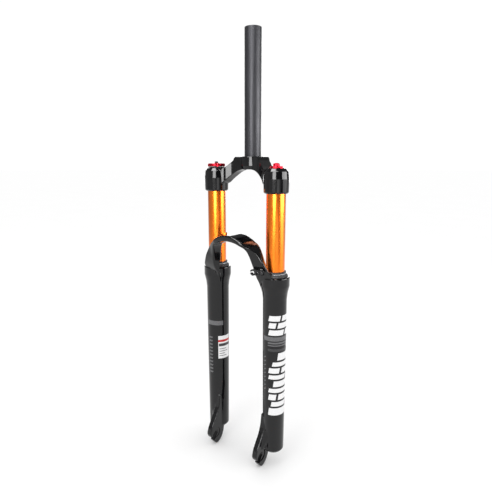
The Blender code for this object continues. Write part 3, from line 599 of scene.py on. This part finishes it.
def build_knob(x, y):
    """The lockout knob with five finger scallops, and the screw that holds it."""
    base = -17.3
    outline = [
        (0.0, 7.4), (3.6, 7.4), (6.4, 6.2), (14.0, 5.8), (15.4, 4.6), (15.4, 1.0), (14.4, 0.0), (3.3, 0.0),
        (3.3, 4.0), (0.0, 4.0),
    ]
    cuts = [("DIFFERENCE", bar_mesh("bore", (x, y, base + 3), UP, 1.9, 8.0, TINY_ROUND))]
    cuts += ring_of_cuts((x, y, base - 1), 18.6, 5, 0.37, 4.6, 12.0, SMALL_ROUND)
    mesh = carved("knob", turned_mesh("knob", rounded_profile(outline, 0.5), x, y, base), cuts)
    soften_edges(make_object("knob", mesh, RED, "lockout", ["lockout_knob"]), 0.35)
    screw = [
        (0.0, 9.2), (2.3, 9.2), (3.0, 8.6), (3.0, 7.7), (1.6, 7.7), (1.6, 4.3), (0.0, 4.3),
    ]
    socket = ("DIFFERENCE", hex_mesh((x, y, base + 7.9), UP, 1.3, 3.0))
    mesh = turned_mesh("screw", rounded_profile(screw, 0.2), x, y, base, SMALL_ROUND)
    make_object("knob_screw", carved("screw", mesh, [socket]), BLACK_METAL, "lockout", ["lockout_knob_screw"])


# ---------------------------------------------------------------- lower legs and arch

LEG_OUTLINE = [
    (23.8, LEG_TOP), (24.8, LEG_TOP - 1.0), (24.8, -214.0), (21.8, -227.0), (20.6, -238.0), (20.2, -340.0),
    (19.2, -470.0), (18.8, LEG_BOTTOM + 4.0), (15.8, LEG_BOTTOM),
]
# The arch's four edges from its middle to the left leg, as (x, y, z) points; the right half mirrors them.
ARCH_REAR_OUTER = [
    (0, -46, -127.3), (13, -46, -127.6), (23, -46, -129), (33, -46, -133), (41, -45.5, -137.8),
    (47, -45, -142), (52, -45, -148.4), (56.5, -45, -158), (61.4, -45, -170.7), (66.5, -45, -182),
    (70.5, -45, -196), (72, -36.5, -210), (71, -32, -228), (68, -30, -252),
]
ARCH_RIDGE = [
    (0, -74.5, -129.5), (12, -74.5, -131), (22, -73.5, -135), (30, -71.5, -140), (37, -67.5, -145.2),
    (43.7, -63.8, -149.2), (50.3, -59.5, -154), (56.5, -56.8, -161), (63.5, -55.5, -171.5),
    (70.5, -51.8, -183.5), (77.3, -46, -194.1), (80, -39.5, -208), (78, -36, -224), (73.5, -33, -246),
]
ARCH_FRONT_INNER = [
    (0, -73, -139.5), (10, -73, -140.2), (19.5, -72.8, -142.2), (27, -71.5, -145.5), (32.9, -68.5, -149),
    (36.6, -65, -154.5), (39.2, -62.2, -162), (41.5, -59.5, -170.9), (43.5, -56.8, -180),
    (45.2, -52.5, -190.5), (45.3, -48, -200), (45.5, -41.5, -211), (47.5, -37, -226), (53.5, -34, -250),
]
ARCH_REAR_INNER = [
    (0, -46, -142), (10, -46, -142.8), (18.5, -46, -145), (25.5, -46, -148), (30.5, -46, -151.5),
    (33.5, -45, -157), (35.5, -44, -164), (36.8, -43, -172.5), (37.8, -43, -181.5), (39, -43, -191),
    (40.5, -42, -201), (43.5, -36, -212), (47, -31, -228), (53.5, -28, -252),
]
AXLE = Vector((0.0, -49.0, -524.0))
SLOT_DIRECTION = Vector((0, -1, -1)).normalized()


def cornered_section(corners, radius):
    """Each corner of a section replaced by a short curve."""
    section = []
    for index, corner in enumerate(corners):
        here = Vector(corner)
        before = Vector(corners[index - 1])
        after = Vector(corners[(index + 1) % len(corners)])
        start = here + (before - here).normalized() * min(radius, 0.35 * (before - here).length)
        end = here + (after - here).normalized() * min(radius, 0.35 * (after - here).length)
        section += bend(start, here, end, 2)
    return section


def arch_solid():
    edges = (ARCH_REAR_OUTER, ARCH_RIDGE, ARCH_FRONT_INNER, ARCH_REAR_INNER)
    half = [cornered_section(corners, 2.2) for corners in zip(*[smooth_curve(e, 8) for e in edges])]
    mirrored = [[(-x, y, z) for x, y, z in section] for section in reversed(half[1:])]
    return lofted_mesh("arch", [*mirrored, *half])


def dropout_outline():
    """One dropout seen from the side, as (y, z) points, without its slot."""
    neck = [(-38, -452), (-40.5, -470), (-46.5, -486), (-54.5, -498.5), (-60.8, -508.5), (-64, -517)]
    nose = [(-64, -517), (-64.8, -522), (-63, -527)]
    lobe = [(-51.5, -544), (-47, -547.2), (-41, -546), (-34, -541), (-29, -533), (-26.5, -524)]
    heel = [(-25, -512), (-12, -500), (-12, -452)]
    return [*smooth_curve(neck, 6), *smooth_curve(nose, 6)[1:], *smooth_curve(lobe, 6), *heel]


def slot_mesh(side):
    """The cutter for an axle slot: a half round at the axle, and a mouth that widens forward and down."""
    radius, half_mouth, reach = 4.9, 6.1, 30.0
    across = Vector((0, 1, -1)).normalized()
    outline = []
    for step in range(25):
        angle = math.pi * step / 24
        outline.append(AXLE + (across * math.cos(angle) - SLOT_DIRECTION * math.sin(angle)) * radius)
    outline.append(AXLE - across * half_mouth + SLOT_DIRECTION * reach)
    outline.append(AXLE + across * half_mouth + SLOT_DIRECTION * reach)
    low, high = sorted((side * 45.0, side * 64.0))
    return prism_mesh("slot", [(p.y, p.z) for p in outline], low, high, "X")


def neck_solid(side):
    """The swell that carries each leg's foot forward and inward into its dropout."""
    sections = []
    for step in range(9):
        u = step / 8
        centre_y = LEG_Y - 21.0 * u ** 1.15
        z = -462.0 - 58.0 * u
        half_y = 14.0 - 2.0 * u
        half_x = 15.0 - 9.6 * u ** 0.8
        centre_x = LEG_X - 10.6 * u ** 0.9
        ring = []
        for corner in range(24):
            angle = 2 * math.pi * corner / 24
            x = centre_x + half_x * math.cos(angle)
            ring.append((side * x, centre_y + half_y * math.sin(angle), z))
        sections.append(ring)
    return lofted_mesh("neck", sections)


def disc_post_solids():
    """The web behind the left leg and the two posts that a disc brake bolts to."""
    low, high = DISC_POSTS
    shoulder = 8.0
    web = [
        (-22, high + 26), (-3, high + 14), (shoulder, high + 6), (shoulder, high - 7), (2, high - 16),
        (2, low + 16), (shoulder, low + 7), (shoulder, low - 6), (-3, low - 14), (-22, low - 22),
    ]
    solids = [prism_mesh("web", web, 46.5, 56.0, "X")]
    for z in DISC_POSTS:
        solids.append(bar_mesh("post", (DISC_POST_X, -16.0, z), (0, 1, 0), 7.0, 29.0))
    return solids


def casting_body():
    """Both legs, the arch, dropouts, disc posts and the clip's boss as one solid, with no hole cut yet."""
    solids = [arch_solid(), *disc_post_solids()]
    profile = [(0.0, LEG_TOP), *LEG_OUTLINE, (0.0, LEG_BOTTOM)]
    for name, side in SIDES.items():
        low, high = sorted((side * 49.2, side * 59.0))
        solids.append(prism_mesh("dropout", dropout_outline(), low, high, "X"))
        solids.append(neck_solid(side))
        if name == "left":
            solids.append(bar_mesh("boss", (CLIP_X, -47.0, CLIP_Z), FORWARD, 5.6, 9.0))
    x, y = axis_of("right")
    solids.append(turned_mesh("leg", profile, x, y))
    x, y = axis_of("left")
    return carved("body", turned_mesh("leg", profile, x, y), [("UNION", solid) for solid in solids])


def casting_cuts():
    """The bores, bolt holes, slots, seats and threaded holes of the lower legs."""
    bore = [
        (0, -193), (20.6, -193), (20.6, -215.4), (17.6, -215.4), (17.6, -232.3), (17.0, -232.3),
        (17.0, -311.7), (17.6, -311.7), (17.6, -328.3), (16.6, -328.3), (16.6, -486), (12.6, -492), (0, -492),
    ]
    foot = [(0, -490), (3.3, -490), (3.3, -513.5), (8.0, -513.5), (8.0, -526), (0, -526)]
    cuts = [bar_mesh("thread", (CLIP_X, -47.5, CLIP_Z), FORWARD, 1.8, 12.0, TINY_ROUND)]
    for name, side in SIDES.items():
        x, y = axis_of(name)
        cuts.append(turned_mesh("bore", bore, x, y))
        cuts.append(turned_mesh("foot", foot, x, y))
        cuts.append(slot_mesh(side))
        cuts.append(bar_mesh("clamp_seat", (side * 57.8, AXLE.y, AXLE.z), (side, 0, 0), 11.5, 8.0, ROUND))
        cuts.append(bar_mesh("hub_seat", (side * 50.0, AXLE.y, AXLE.z), (-side, 0, 0), 10.0, 8.0, ROUND))
    for z in DISC_POSTS:
        cuts.append(bar_mesh("thread", (DISC_POST_X, 1.0, z), (0, 1, 0), 2.6, 20.0))
    return cuts


def build_casting():
    skin = melted("casting_skin", casting_body(), voxel=0.8, passes=6)
    mesh = carved("casting", skin, [("DIFFERENCE", cut) for cut in casting_cuts()])
    make_object("lower_legs", mesh, PAINT, "lowers", ["lower_leg_casting"])


def build_wipers():
    """Rubber wipers: a lip, the groove for the garter spring, a flange and the pressed-in foot."""
    outline = [
        (16.3, -188.6), (18.4, -189.4), (18.4, -190.8), (17.4, -191.4), (17.4, -192.8), (19.4, -193.4),
        (19.8, -195.0), (21.6, -196.2), (21.6, -197.7), (20.3, -197.7), (20.3, -205.0), (16.3, -205.0),
    ]
    for name in SIDES:
        x, y = axis_of(name)
        mesh = turned_mesh("wiper", rounded_profile(outline, 0.5), x, y)
        make_object(name + "_wiper", mesh, RUBBER, "lowers", [name + "_dust_wiper"])


def build_foot_bolts():
    outline = rounded_profile(
        [(0.0, -478.0), (3.0, -478.0), (3.0, -515.1), (6.6, -515.1), (6.6, -521.5), (0.0, -521.5)], 0.5)
    for name in SIDES:
        x, y = axis_of(name)
        socket = ("DIFFERENCE", hex_mesh((x, y, -517.5), (0, 0, -1), 2.9, 8.0))
        mesh = carved("bolt", turned_mesh("bolt", outline, x, y, segments=SMALL_ROUND), [socket])
        make_object(name + "_bolt", mesh, BLACK_METAL, "lowers", [name + "_foot_bolt"])


def arc_points(x, z, radius, start, end):
    """Points at every ten degrees of an arc, both ends included."""
    angles = [math.radians(a) for a in range(start, end + 1, 10)]
    return [(x + radius * math.cos(a), z + radius * math.sin(a)) for a in angles]


def build_hose_clip():
    """A flat clip whose open loop holds the brake hose, and the screw through its other end."""
    back, thick, x, z = -56.3, 5.0, CLIP_X, CLIP_Z
    hose_x = x - 11.0
    loop = arc_points(hose_x, z, 5.4, 50, 310)
    end = arc_points(x + 0.8, z, 5.6, -50, 50)
    outline = [*loop, (x + 4.4, z - 4.6), *end, (x + 4.4, z + 4.6)]
    mouth = [(x - 20, z - 1.1), (x - 12.5, z - 1.1), (x - 12.5, z + 1.1), (x - 20, z + 1.1)]
    steps = [
        ("DIFFERENCE", bar_mesh("hole", (hose_x, back + 5.0, z), FORWARD, 3.2, 15.0)),
        ("DIFFERENCE", prism_mesh("mouth", mouth, back - 8.0, back + 3.0, "Y")),
        ("DIFFERENCE", bar_mesh("hole", (x, back + 5.0, z), FORWARD, 1.9, 15.0)),
    ]
    mesh = carved("clip", prism_mesh("clip", outline, back - thick, back, "Y"), steps)
    soften_edges(make_object("brake_hose_clip", mesh, PLASTIC, "lowers", ["hose_clip"]), 0.5)
    head = [(0.0, 3.0), (2.6, 3.0), (3.6, 1.9), (3.6, 0.0), (1.5, 0.0), (1.5, -12.0), (0.0, -12.0)]
    screw = turned_mesh("screw", rounded_profile(head, 0.4), segments=SMALL_ROUND)
    aimed(screw, (x, back - 5.3, z), FORWARD)
    socket = ("DIFFERENCE", hex_mesh((x, back - 6.5, z), FORWARD, 1.6, 4.0))
    make_object("clip_screw", carved("screw", screw, [socket]), BLACK_METAL, "lowers", ["hose_clip_screw"])


# ---------------------------------------------------------------- printed patches

FILM_LIFT = 0.12            # how far a printed film stands proud of the paint
TOP_FILM_LIFT = 0.2         # and one that lies on another film
FILM_DEPTH = 0.35


def leg_radius(z):
    """The outer radius of a leg at a height."""
    for (r0, z0), (r1, z1) in zip(LEG_OUTLINE, LEG_OUTLINE[1:]):
        if z1 <= z <= z0 and z0 > z1:
            return r0 + (r1 - r0) * (z - z0) / (z1 - z0)
    return LEG_OUTLINE[-1][0]


def patch(name, side, corners, look, lift=FILM_LIFT):
    """A film on a leg between four corners, each an angle round the leg in degrees and a height."""
    x, y = axis_of(side)
    across, along = 24, 12
    (a0, z0), (a1, z1), (a2, z2), (a3, z3) = corners
    bm = bmesh.new()
    layers = []
    for height in (lift, lift - FILM_DEPTH):
        rows = []
        for j in range(along + 1):
            row = []
            for i in range(across + 1):
                u, v = i / across, j / along
                low = (a0 + (a1 - a0) * u, z0 + (z1 - z0) * u)
                high = (a3 + (a2 - a3) * u, z3 + (z2 - z3) * u)
                angle = math.radians(low[0] + (high[0] - low[0]) * v)
                z = low[1] + (high[1] - low[1]) * v
                radius = leg_radius(z) + height
                row.append(bm.verts.new((x + radius * math.cos(angle), y + radius * math.sin(angle), z)))
            rows.append(row)
        layers.append(rows)
    top, under = layers
    for j in range(along):
        for i in range(across):
            bm.faces.new((top[j][i], top[j][i + 1], top[j + 1][i + 1], top[j + 1][i]))
            bm.faces.new((under[j][i], under[j + 1][i], under[j + 1][i + 1], under[j][i + 1]))
    edge = [(0, i) for i in range(across)] + [(j, across) for j in range(along)]
    edge += [(along, i) for i in range(across, 0, -1)] + [(j, 0) for j in range(along, 0, -1)]
    for (j0, i0), (j1, i1) in zip(edge, edge[1:] + edge[:1]):
        bm.faces.new((top[j0][i0], under[j0][i0], under[j1][i1], top[j1][i1]))
    return make_object(name, finish_mesh(name, bm), look, "lowers")


def box_patch(name, side, start, end, top, low, look, slant=0.0, lift=FILM_LIFT):
    """A film between two angles and two heights, whose top edge is turned on by a slant in degrees."""
    corners = [(start, low), (end, low), (end + slant, top), (start + slant, top)]
    return patch(name, side, corners, look, lift)


def build_near_marks():
    """Plain blocks and bars in the places of the left leg's printed marks: no letters or numbers."""
    top, pitch, tall = -262.5, 12.6, 9.4
    for index, (split, gap) in enumerate(((-30, 10), (-52, 10), (-10, 10))):
        high = top - pitch * index
        name = "near_block_%d" % index
        box_patch(name, "left", -86, split, high, high - tall, WHITE_INK, slant=6.0)
        box_patch(name + "_b", "left", split + gap, 42, high, high - tall, WHITE_INK, slant=6.0)
    box_patch("near_band", "left", -116, 40, -300.0, -307.5, GREY_INK)
    box_patch("near_stripe_0", "left", -88, 30, -309.5, -312.5, GREY_INK)
    box_patch("near_stripe_1", "left", -88, 20, -314.5, -316.5, GREY_INK)
    box_patch("near_stripe_2", "left", -88, 30, -321.5, -326.0, DARK_INK)
    for index in range(9):
        low = -336.0 - 7.4 * index
        corners = [(-111, low - 4.2), (-100, low - 2.2), (-100, low), (-111, low - 2.0)]
        patch("near_tick_%d" % index, "left", corners, GREY_INK)
    blocks = (
        (-329.0, -342.0, -40, 30), (-345.5, -353.0, -66, 30), (-356.5, -366.0, -84, -30),
        (-356.5, -366.0, -18, 30), (-369.5, -377.0, -84, 10), (-380.5, -391.0, -60, 30),
        (-394.5, -402.0, -84, 30), (-405.5, -416.0, -84, -46), (-405.5, -416.0, -34, 30),
        (-419.5, -428.0, -70, 12), (-431.5, -445.0, -84, 20),
    )
    for index, (high, low, start, end) in enumerate(blocks):
        box_patch("near_bar_%d" % index, "left", start, end, high, low, WHITE_INK, slant=5.0)


def build_far_marks():
    """A band, ticks and a sticker of plain bars in the places of the right leg's marks."""
    box_patch("far_band", "right", -113, -22, -301.0, -309.5, GREY_INK)
    for index in range(11):
        low = -333.0 - 7.0 * index
        box_patch("far_tick_%d" % index, "right", -106, -84, low, low - 3.0, GREY_INK, slant=4.0)
    box_patch("far_sticker", "right", -50, 22, -331.0, -376.0, WHITE_INK)
    box_patch("far_sticker_band", "right", -50, 22, -338.5, -343.0, RED_INK, lift=TOP_FILM_LIFT)
    box_patch("far_sticker_bar", "right", -47, 22, -346.0, -351.5, DARK_INK, lift=TOP_FILM_LIFT)
    for index, wide in enumerate((40, 48, 32, 44)):
        high = -356.0 - 4.6 * index
        name = "far_sticker_line_%d" % index
        box_patch(name, "right", -44, wide - 44, high, high - 1.2, GREY_INK, lift=TOP_FILM_LIFT)


# ---------------------------------------------------------------- studio, in metres

CAMERA_PLACE = (0.4687, -0.6120, -0.0118)
CAMERA_DOWN = 10.73                 # degrees below level
CAMERA_TURN = 38.32                 # degrees from looking along +Y
CAMERA_LENS = 31.89
CAMERA_BEARING = -52.6              # where the camera stands from the fork, in degrees from +X
LIGHT_AIM = (0.0, -0.03, -0.2)
FLOOR_GAP = 0.0005
FLOOR_RADIUS = 40.0

# What the gloss reflects: (start, end, brightness) with the bearings measured from the camera's own.
UPPER_WALLS = (
    (-100, -34, 0.55), (-34, -6, 13.0), (-6, 50, 0.06), (50, 100, 10.0), (100, 150, 0.25), (150, 200, 5.0),
    (200, 260, 0.35),
)
LOWER_WALLS = (
    (-180, -70, 0.5), (-70, -36, 0.7), (-36, -12, 1.3), (-12, 4, 0.6), (4, 26, 2.0), (26, 40, 0.6),
    (40, 58, 0.06), (58, 100, 2.6), (100, 180, 0.7),
)


def build_floor():
    """A pale disc under the fork that runs out of sight."""
    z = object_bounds()[0][2] - FLOOR_GAP
    bm = bmesh.new()
    centre = bm.verts.new((0.0, 0.0, z))
    ring = []
    for step in range(SMALL_ROUND):
        angle = 2 * math.pi * step / SMALL_ROUND
        ring.append(bm.verts.new((FLOOR_RADIUS * math.cos(angle), FLOOR_RADIUS * math.sin(angle), z)))
    for first, second in zip(ring, ring[1:] + ring[:1]):
        bm.faces.new((centre, first, second))
    mesh = mesh_from("floor", bm)
    kit = Nodes("floor", (0.96, 0.96, 0.96), 0.9, specular_ior_level=0.0)
    kit.tint(kit.noise(3.0, 2.0), (0.95, 0.95, 0.95))
    mesh.materials.append(kit.material)
    placed("floor", mesh)


def reflector(name, mesh, level):
    """A studio wall or flag that shows only in reflections."""
    material = bpy.data.materials.new(name)
    material.use_nodes = True
    shader = material.node_tree.nodes["Principled BSDF"]
    shader.inputs["Base Color"].default_value = (0.0, 0.0, 0.0, 1.0)
    shader.inputs["Specular IOR Level"].default_value = 0.0
    shader.inputs["Emission Color"].default_value = (1.0, 1.0, 1.0, 1.0)
    shader.inputs["Emission Strength"].default_value = level
    mesh.materials.append(material)
    thing = placed(name, mesh)
    thing.visible_camera = False
    thing.visible_diffuse = False
    thing.visible_shadow = False
    thing.visible_transmission = False


def wall_mesh(name, start, end, distance, low, high, lean=1.0):
    """An upright curved wall between two bearings, which are measured from the camera's own."""
    bm = bmesh.new()
    rows = []
    steps = max(2, int((end - start) / 6))
    for step in range(steps + 1):
        angle = math.radians(CAMERA_BEARING + start + (end - start) * step / steps)
        way = (math.cos(angle), math.sin(angle))
        lower = bm.verts.new((distance * way[0], distance * way[1], low))
        upper = bm.verts.new((distance * lean * way[0], distance * lean * way[1], high))
        rows.append((lower, upper))
    for first, second in zip(rows, rows[1:]):
        bm.faces.new((first[0], second[0], second[1], first[1]))
    return mesh_from(name, bm)


def panel_mesh(name, corners):
    mesh = bpy.data.meshes.new(name)
    mesh.from_pydata(corners, [], [range(len(corners))])
    return mesh


def soft_light(name, bearing, distance, height, width, length, level):
    """An upright soft box at a bearing from the camera's own, aimed at the fork's middle."""
    angle = math.radians(CAMERA_BEARING + bearing)
    data = bpy.data.lights.new(name, "AREA")
    data.shape = "RECTANGLE"
    data.size = width
    data.size_y = length
    data.energy = level * math.pi * width * length
    light = placed(name, data)
    light.location = (distance * math.cos(angle), distance * math.sin(angle), height)
    aim = Vector(LIGHT_AIM) - light.location
    light.rotation_euler = aim.to_track_quat("-Z", "Y").to_euler()
    light.visible_camera = False
    light.visible_glossy = False


def build_studio():
    """A plain white studio: a lit backdrop, walls that only the gloss sees, and three soft boxes."""
    world = bpy.data.worlds.new("studio")
    world.use_nodes = True
    backdrop = world.node_tree.nodes["Background"]
    backdrop.inputs["Color"].default_value = (1.0, 1.0, 1.0, 1.0)
    backdrop.inputs["Strength"].default_value = 1.04
    bpy.context.scene.world = world
    reflector("room", wall_mesh("room", 0.0, 360.0, 6.0, -0.54, 9.0, lean=0.15), 0.22)
    for index, (start, end, level) in enumerate(UPPER_WALLS):
        reflector("upper_wall_%d" % index, wall_mesh("wall", start, end, 1.8, -0.13, 0.75), level)
    for index, (start, end, level) in enumerate(LOWER_WALLS):
        reflector("lower_wall_%d" % index, wall_mesh("wall", start, end, 2.2, -0.545, -0.16), level)
    ceiling = [(-0.7, -1.3, 1.3), (0.9, -1.3, 1.3), (0.9, -0.35, 1.6), (-0.7, -0.35, 1.6)]
    reflector("ceiling", panel_mesh("ceiling", ceiling), 16.0)
    soft_light("left_box", -32.0, 1.5, 0.5, width=0.6, length=1.2, level=1.4)
    soft_light("right_box", 75.0, 1.5, 0.5, width=0.6, length=1.2, level=1.0)
    soft_light("top_box", -20.0, 0.7, 1.6, width=0.7, length=0.7, level=1.6)
    bpy.context.scene.view_settings.view_transform = "Standard"


def build_camera():
    data = bpy.data.cameras.new("camera")
    data.sensor_width = 36.0
    data.lens = CAMERA_LENS
    data.clip_start = 0.01
    camera = placed("camera", data)
    camera.location = CAMERA_PLACE
    camera.rotation_euler = (math.radians(90 - CAMERA_DOWN), 0.0, math.radians(CAMERA_TURN))
    bpy.context.scene.camera = camera


finish_cad_nodes()
build_steerer()
build_crown()
build_tubes()
build_air_cap(*axis_of("left"))
build_air_valve(*axis_of("left"))
build_dust_cap(*axis_of("left"))
build_damper_cap(*axis_of("right"))
build_knob(*axis_of("right"))
build_casting()
build_wipers()
build_foot_bolts()
build_hose_clip()
build_near_marks()
build_far_marks()
build_floor()
build_studio()
build_camera()
